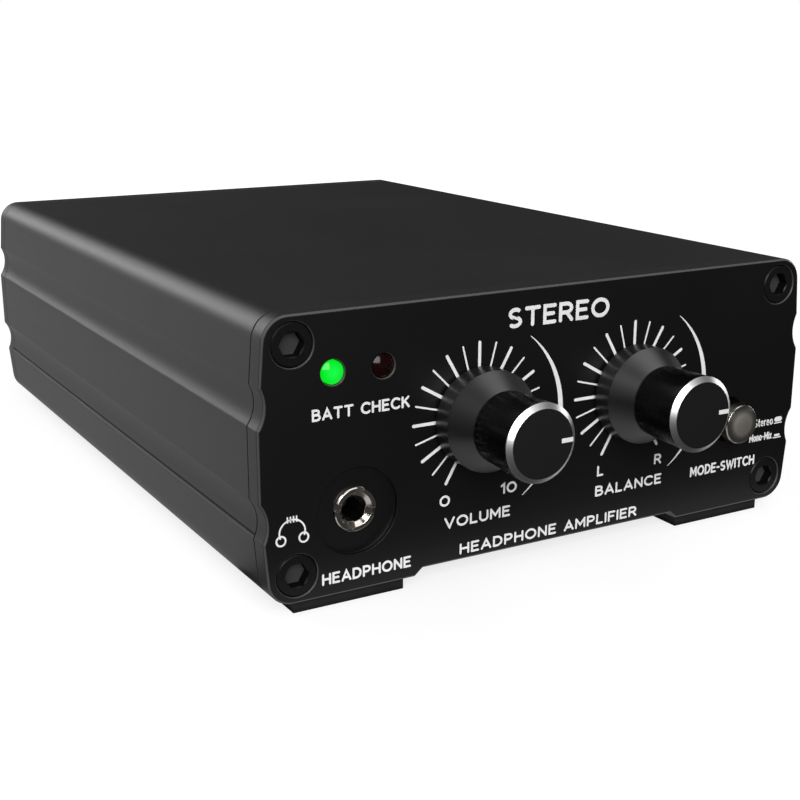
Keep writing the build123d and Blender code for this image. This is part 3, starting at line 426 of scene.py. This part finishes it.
def make_knob_material():
    """Black anodised turned metal: a bright cut rim, and fine lines left by turning."""
    shader = Shader("knob_black")
    depth = shader.axis("Y")
    rings = shader.noise(2500, 2.0, shader.stretched(0.02, 1, 0.02))
    fine = shader.noise(5000, 2.0)
    rim_start, rim_end = KNOB_RIM
    face = shader.math("LESS_THAN", depth, rim_start)
    after = shader.math("GREATER_THAN", depth, rim_start)
    before = shader.math("LESS_THAN", depth, rim_end)
    rim = shader.math("MULTIPLY", after, before)
    skirt = shader.ranged(depth, 0, 1, *KNOB_SKIRT)
    barrel = shader.colour(face, (0.024, 0.024, 0.025), grey(0.045))
    black = shader.colour(skirt, barrel, (0.105, 0.105, 0.107))
    shader.set(Base_Color=shader.colour(rim, black, grey(0.80)), Metallic=1.0)
    head_with_socket_shade = shader.ranged(skirt, 0.28, 0.36, 0, 1)
    matte = shader.node("Mix", {"Factor": face, "A": head_with_socket_shade, "B": 0.55}).outputs["Result"]
    rough = shader.node("Mix", {"Factor": rim, "A": matte, "B": 0.34}).outputs["Result"]
    shader.set(Roughness=shader.math("ADD", rough, shader.ranged(fine, -0.01, 0.01)))
    shader.bump(rings, 0.015, 0.01 * MM, shader.rounded(0.08 * MM))


def make_nickel_material():
    """Warm nickel plate: polished on the socket's ring, satin on the mode button's face."""
    shader = Shader("nickel")
    streaks = shader.noise(4000, 3.0, shader.stretched(0.05, 1, 0.05))
    satin = shader.ranged(shader.axis("Y"), 1, 0, *BUTTON_SATIN)
    plate = shader.colour(shader.ranged(streaks, 0, 1), (0.68, 0.64, 0.58), (0.80, 0.76, 0.70))
    polished = shader.ranged(streaks, 0.12, 0.20)
    rough = shader.node("Mix", {"Factor": satin, "A": polished, "B": 0.44}).outputs["Result"]
    shader.set(Base_Color=plate, Roughness=rough, Metallic=1.0)
    shader.bump(streaks, 0.05, 0.02 * MM, shader.rounded(0.1 * MM))


def make_screw_material():
    """Black oxide, with painted shade on the socket's walls and a painted highlight on its floor."""
    shader = Shader("screw_black")
    sunk = shader.sunk_in_panel()
    fine = shader.noise(4000, 2.0)
    head = shader.colour(fine, grey(0.004), grey(0.008))
    # painted shade darkens the socket's walls; a painted highlight lightens its floor
    in_socket = shader.ranged(sunk, 0, 1, *SOCKET_WALL)
    floor_highlight = shader.ranged(sunk, 0, 1, *SOCKET_FLOOR)
    head_with_socket_shade = shader.colour(in_socket, head, grey(0.0005))
    base = shader.ranged(sunk, 0.32, 0.75, *SOCKET_WALL)
    rough = shader.math("ADD", base, shader.ranged(fine, -0.06, 0.06))
    shader.set(Base_Color=shader.colour(floor_highlight, head_with_socket_shade, grey(0.038)), Roughness=rough)
    shader.set(Specular_IOR_Level=0.15)
    shader.bump(fine, 0.15, GRAIN_DEPTH, shader.rounded(0.06 * MM))


def make_lamp_material(name, core, edge, glow, tint):
    """A tinted lens, brightest in the middle where the light inside shows through; the unlit red lamp's
    faint glow is painted.
    """
    shader = Shader(name)
    lamp = LAMPS[name.split("_")[1]]
    lamp_inputs = {0: shader.coordinates, 1: (lamp.x, FRONT, lamp.z)}
    distance = shader.node("VectorMath", lamp_inputs, operation="DISTANCE").outputs["Value"]
    away = shader.ranged(distance, 0, 1, *LAMP_CORE)
    speck = shader.noise(3000, 2.0)
    shaded = [SPECK_SHADE * value for value in tint]
    shader.set(Base_Color=shader.colour(shader.ranged(speck, 0, 1), tint, shaded))
    shader.set(Roughness=shader.ranged(speck, 0.10, 0.16), Specular_IOR_Level=0.25)
    shader.set(Emission_Color=shader.colour(away, core, edge), Emission_Strength=glow)


def make_board_material():
    """A solder-masked board with copper tracks showing faintly under the mask."""
    shader = Shader("board_green")
    pattern = {"Vector": shader.coordinates, "Scale": 90.0, "Mortar Size": 0.006}
    pattern["Color1"] = (0.012, 0.11, 0.045, 1)
    pattern["Color2"] = (0.016, 0.14, 0.055, 1)
    pattern["Mortar"] = (0.03, 0.24, 0.09, 1)
    bricks = shader.node("TexBrick", pattern)
    shader.set(Base_Color=bricks.outputs["Color"])
    shader.set(Roughness=shader.ranged(shader.noise(900), 0.25, 0.4))
    shader.bump(bricks.outputs["Fac"], 0.3, GRAIN_DEPTH)


def make_materials():
    make_case_material()
    make_panel_material()
    make_knob_material()
    make_lamp_material("lamp_green", (0.01, 0.96, 0.07), (0.0, 0.76, 0.008), 1.0, (0.0, 0.03, 0.003))
    # the red lamp is unlit: its faint emission is a painted glow
    make_lamp_material("lamp_red", (0.006, 0.001, 0.001), (0.003, 0.0, 0.0), 0.3, (0.008, 0.0015, 0.0015))
    make_board_material()
    make_screw_material()
    make_nickel_material()
    metal("steel", grey(0.48), grey(0.60), (0.25, 0.4), 3000, (0.05, 1, 0.05))
    metal("zinc_screw", grey(0.03), grey(0.05), (0.3, 0.45), 2500, strength=0.1, edge=0.1 * MM)
    metal("brass_contact", (0.62, 0.45, 0.18), (0.75, 0.58, 0.28), (0.25, 0.4), 2000)
    grained("foot_rubber", grey(0.007), grey(0.011), (0.7, 0.85), 5000, 0.5, 0.2 * MM,
            Specular_IOR_Level=0.2)
    grained("black_plastic", grey(0.022), grey(0.030), (0.36, 0.50), 6000, 0.25, 0.15 * MM)
    grained("pot_housing", grey(0.02), grey(0.03), (0.4, 0.55), 6000, 0.2, 0.1 * MM)
    grained("capacitor_sleeve", (0.015, 0.02, 0.06), (0.02, 0.03, 0.08), (0.18, 0.28), 2000, 0.1, 0.2 * MM)
    grained("battery_jacket", (0.05, 0.05, 0.06), (0.08, 0.08, 0.09), (0.25, 0.4), 3000, 0.1, 0.2 * MM)
    grained("print_white", grey(0.74), grey(0.84), (0.45, 0.6), 9000, 0.2)


def dress_nodes():
    """Each CAD node takes the material that the record's slot names."""
    for part in frame["record"]["subparts"]:
        mesh = NODES[part["node"]].data
        mesh.materials.clear()
        mesh.materials.append(MATERIALS[part["material_slot"]])


# ---------------------------------------------------------------- dials and legends
# All in millimetres, with angles in degrees clockwise from the top.
TICK_OUTER = 9.80
TICK_INNER = 6.2
TICK_STEP = 15
TICK_END = 150
THICK_TICK = 0.43
THIN_TICK = 0.24
CRESCENT_RADIUS = 13.55
CRESCENT_SHIFT = (-0.4, -0.92)
CRESCENT_START = 38
CRESCENT_END = 146
CRESCENT_WIDEST = 94
CRESCENT_WIDTH = 0.76
CRESCENT_TAIL = 0.08
CRESCENT_STEPS = 40
POINTER_START = 2.80
POINTER_END = 4.50
POINTER_HALF = 0.29
POINTER_DEPTHS = (0.02, 0.14)
SIGN_X = -39.7
SIGN_BAND_HEIGHT = 9.6
SIGN_BAND_RADII = (1.75, 1.65)
SIGN_BAND_STROKE = 0.22
SIGN_CUP_OFFSET = 1.55
SIGN_CUP_HEIGHT = 8.68
SIGN_CUP_RADIUS = 0.62
SIGN_CUP_STROKE = 0.24
SIGN_MARKS = (-0.63, -0.21, 0.21, 0.63)
SIGN_MARK_SPAN = (10.95, 11.6)
SIGN_MARK_STROKE = 0.2
SWITCH_SIGNS = (("out", 12.3, 0.75), ("in", 10.0, 0.35))  # name, height of its middle, rise of its cap
SWITCH_LINE = (40.45, 41.95)
SWITCH_LINE_DROP = 0.5
SWITCH_LINE_STROKE = 0.17
SWITCH_CAP = (40.8, 41.6)
SWITCH_CAP_DROP = 0.3
INPUT_LEGEND_Z = 4.4


def on_dial(name, radius, turn, shift=(0, 0)):
    """A point on a dial, from a radius in millimetres and an angle clockwise from the top."""
    middle = DIALS[name]
    across = shift[0] + radius * sin(radians(turn))
    up = shift[1] + radius * cos(radians(turn))
    return (middle.x + across * MM, middle.z + up * MM)


def dial_ticks(name):
    outlines = []
    for index, turn in enumerate(range(-TICK_END, TICK_END + 1, TICK_STEP)):
        width = THIN_TICK if index % 2 else THICK_TICK
        ends = [on_dial(name, radius, turn) for radius in (TICK_INNER, TICK_OUTER)]
        outlines.append(stroke_outline(ends, width * MM))
    printed(name + "_dial_ticks", outlines)


def crescent_width(turn):
    """The crescent's width at an angle, growing towards its widest place from each end."""
    end = CRESCENT_START if turn < CRESCENT_WIDEST else CRESCENT_END
    share = 1 - abs(turn - CRESCENT_WIDEST) / abs(end - CRESCENT_WIDEST)
    return CRESCENT_TAIL + (CRESCENT_WIDTH - CRESCENT_TAIL) * sin(share * pi / 2)


def dial_crescent(name):
    """The tapered arc outside the ticks, widest to the right and fine at both ends."""
    outer, inner = [], []
    for k in range(CRESCENT_STEPS + 1):
        turn = CRESCENT_START + (CRESCENT_END - CRESCENT_START) * k / CRESCENT_STEPS
        half = crescent_width(turn) / 2
        outer.append(on_dial(name, CRESCENT_RADIUS + half, turn, CRESCENT_SHIFT))
        inner.append(on_dial(name, CRESCENT_RADIUS - half, turn, CRESCENT_SHIFT))
    printed(name + "_dial_crescent", [outer + list(reversed(inner))])


def pointer(name):
    """White paint in the groove that runs from near the knob's middle to its rim."""
    middle = DIALS[name]
    x_from = middle.x + POINTER_START * MM
    x_to = middle.x + POINTER_END * MM
    z_from = middle.z - POINTER_HALF * MM
    z_to = middle.z + POINTER_HALF * MM
    outline = [(x_from, z_from), (x_to, z_from), (x_to, z_to), (x_from, z_to)]
    bm = bmesh.new()
    slab(bm, outline, *(KNOB_FACE + depth * MM for depth in POINTER_DEPTHS))
    paint = name + "_pointer_paint"
    new_object(paint, to_mesh(bm, paint), name + "_knob", MATERIALS["print_white"])


def headphones_sign():
    """A small sign of a pair of headphones, with four short marks above it."""
    band = arc(SIGN_X, SIGN_BAND_HEIGHT, *SIGN_BAND_RADII, 200, -20, 24)
    outlines = [stroke_outline([at(*point) for point in band], SIGN_BAND_STROKE * MM)]
    for x in (SIGN_X - SIGN_CUP_OFFSET, SIGN_X + SIGN_CUP_OFFSET):
        for half in ring(x, SIGN_CUP_HEIGHT, SIGN_CUP_RADIUS, SIGN_CUP_RADIUS):
            outlines.append(stroke_outline([at(*point) for point in half], SIGN_CUP_STROKE * MM))
    for step in SIGN_MARKS:
        mark = [at(SIGN_X + step, z) for z in SIGN_MARK_SPAN]
        outlines.append(stroke_outline(mark, SIGN_MARK_STROKE * MM))
    printed("headphones_sign", outlines)


def switch_signs():
    """The two signs of the push switch: standing out on its line, and pushed down to it."""
    for name, z, rise in SWITCH_SIGNS:
        line = [at(x, z - SWITCH_LINE_DROP) for x in SWITCH_LINE]
        cap = [at(x, z - SWITCH_CAP_DROP + rise / 2) for x in SWITCH_CAP]
        outlines = [stroke_outline(line, SWITCH_LINE_STROKE * MM), stroke_outline(cap, rise * MM)]
        printed("switch_sign_" + name, outlines)


def make_rear_legends():
    """Generic names for the fittings behind, with x measured as seen from behind."""
    right, left, supply, power = (-centre(node).x / MM for node in REAR_FITTINGS)
    names = [
        ("legend_right_input", "R", right, INPUT_LEGEND_Z, 1.4),
        ("legend_left_input", "L", left, INPUT_LEGEND_Z, 1.2),
        ("legend_input", "INPUT", (right + left) / 2, INPUT_LEGEND_Z, 6.4),
        ("legend_supply", "DC IN", supply, 7.0, 6.0),
        ("legend_power", "POWER", power, 34.2, 8.0),
    ]
    for name, text, x, z, width in names:
        lettering(name, text, x, z, width, y=BACK, facing=1)


def make_legends():
    for name in ("volume", "balance"):
        dial_ticks(name)
        dial_crescent(name)
        pointer(name)
    lettering("legend_battery", "BATT CHECK", -29.9, 24.0, 13.7)
    lettering("legend_headphone", "HEADPHONE", -29.3, 2.4, 12.9)
    lettering("legend_zero", "0", -17.75, 9.75, 1.6)
    lettering("legend_ten", "10", -7.7, 9.9, 2.6)
    lettering("legend_volume", "VOLUME", -12.6, 6.6, 10.4)
    lettering("legend_left", "L", 7.7, 9.7, 1.1)
    lettering("legend_right", "R", 18.0, 9.8, 1.3)
    lettering("legend_balance", "BALANCE", 12.9, 6.76, 11.9)
    lettering("legend_mode", "MODE-SWITCH", 30.6, 6.7, 12.6)
    lettering("legend_title", "HEADPHONE AMPLIFIER", -0.4, 2.55, 29.9)
    lettering("legend_word", "STEREO", -0.2, 33.0, 16.5, cap=2.7, stroke=0.52)
    lettering("legend_stereo", "Stereo", 38.25, 12.3, 3.8, cap=1.25, stroke=0.19)
    lettering("legend_mono", "Mono-Mix", 37.85, 10.05, 4.5, cap=1.2, stroke=0.19)
    switch_signs()
    headphones_sign()
    make_rear_legends()


# ---------------------------------------------------------------- camera, light and floor
CAMERA_OFFSET = Vector((-0.10503, -0.14095, 0.06921))  # from the middle of the front panel's bottom edge
CAMERA_TURN = (73.89, 0.0, -29.80)
LENS = 60.6
SENSOR_WIDTH = 36
SHIFT = (-0.0014, 0.0195)
NEAREST_SEEN = 0.01
SOFTBOXES = (
    # name, place, what it is aimed at, size in metres, power in watts
    ("rear_left_softbox", (-0.45, 0.78, 0.50), (0, 0.02, 0.02), (0.65, 0.7), 6.6),
    ("overhead_softbox", (0.20, -0.22, 0.70), (0, 0, 0.02), (0.9, 0.5), 1.7),
    ("front_softbox", (-0.36, -0.86, 0.45), (0, -0.05, 0.02), (0.8, 0.6), 11.5),
    ("right_softbox", (1.00, 0.10, 0.22), (0, 0, 0.02), (0.6, 0.4), 2.2),
)
BOUNCES = (
    # name, its span along X and along Y in metres, power in watts for each square metre
    ("left_bounce", (-1.03, -0.03), (-0.04, 0.96), 1.75),
    ("right_bounce", (0.03, 1.03), (-0.04, 0.96), 1.75),
    ("rear_bounce", (-0.03, 0.03), (0.06, 0.96), 1.75),
    ("front_bounce", (-0.05, 0.05), (-0.064, -0.048), 1.5),
    ("front_right_bounce", (-0.05, 0.55), (-0.75, -0.15), 0.22),
)
BOUNCE_HEIGHT = 0.0005
UP = Vector((0, 0, 1))
SHADOW_LIGHT = 0.04
FLOOR_HALF = 3.0
FLOOR_GLOW = (0.76, 1.0)  # near the object and far from it
FLOOR_FADE = (0.15, 0.5)  # the distances between which one becomes the other


def make_camera():
    data = bpy.data.cameras.new("camera")
    data.lens = LENS
    data.sensor_width = SENSOR_WIDTH
    data.shift_x, data.shift_y = SHIFT
    data.clip_start = NEAREST_SEEN
    camera = bpy.data.objects.new("camera", data)
    camera.location = Vector((0, FRONT, LAND)) + CAMERA_OFFSET
    camera.rotation_euler = [radians(turn) for turn in CAMERA_TURN]
    bpy.context.scene.collection.objects.link(camera)
    bpy.context.scene.camera = camera


def softbox(name, location, target, size, power):
    """A rectangular area light that the camera doesn't see."""
    data = bpy.data.lights.new(name, "AREA")
    data.shape = "RECTANGLE"
    data.size, data.size_y = size
    data.energy = power
    light = bpy.data.objects.new(name, data)
    light.location = location
    light.rotation_euler = (Vector(target) - Vector(location)).to_track_quat("-Z", "Y").to_euler()
    light.visible_camera = False
    bpy.context.scene.collection.objects.link(light)


def bounce(name, x_span, y_span, level):
    """Light coming up from a stretch of the floor, as a pale floor gives it back."""
    size = (x_span[1] - x_span[0], y_span[1] - y_span[0])
    middle = Vector((sum(x_span) / 2, sum(y_span) / 2, BOUNCE_HEIGHT))
    softbox(name, middle, middle + UP, size, level * size[0] * size[1])


def make_lights():
    for settings in SOFTBOXES:
        softbox(*settings)
    for settings in BOUNCES:
        bounce(*settings)


def make_surroundings():
    """White surroundings for the view, and a dim even light for the shadows."""
    world = bpy.data.worlds.new("studio")
    bpy.context.scene.world = world
    world.use_nodes = True
    tree = world.node_tree
    background = tree.nodes["Background"]
    background.inputs["Color"].default_value = (1, 1, 1, 1)
    path = tree.nodes.new("ShaderNodeLightPath")
    level = tree.nodes.new("ShaderNodeMapRange")
    level.inputs["To Min"].default_value = SHADOW_LIGHT
    level.inputs["To Max"].default_value = 1.0
    tree.links.new(path.outputs["Is Camera Ray"], level.inputs["Value"])
    tree.links.new(level.outputs["Result"], background.inputs["Strength"])


def make_floor():
    """A pale floor that takes the object's shadow and fades into the white surroundings."""
    mesh = bpy.data.meshes.new("floor")
    corners = [(x * FLOOR_HALF, y * FLOOR_HALF, 0) for x, y in ((-1, -1), (1, -1), (1, 1), (-1, 1))]
    mesh.from_pydata(corners, [], [(0, 1, 2, 3)])
    floor = bpy.data.objects.new("floor", mesh)
    bpy.context.scene.collection.objects.link(floor)
    shader = Shader("floor_pale")
    shader.set(Base_Color=shader.colour(shader.noise(2.0), grey(0.30), grey(0.32)), Roughness=0.8)
    distance = shader.node("VectorMath", {0: shader.coordinates}, operation="LENGTH").outputs["Value"]
    glow = shader.ranged(distance, *FLOOR_GLOW, *FLOOR_FADE)
    shader.set(Specular_IOR_Level=0.0, Emission_Color=(1, 1, 1, 1), Emission_Strength=glow)
    mesh.materials.append(shader.material)
    floor.visible_glossy = False
    floor.visible_diffuse = False


make_materials()
dress_nodes()
make_legends()
make_camera()
make_lights()
make_surroundings()
make_floor()
bpy.context.scene.view_settings.view_transform = "Standard"
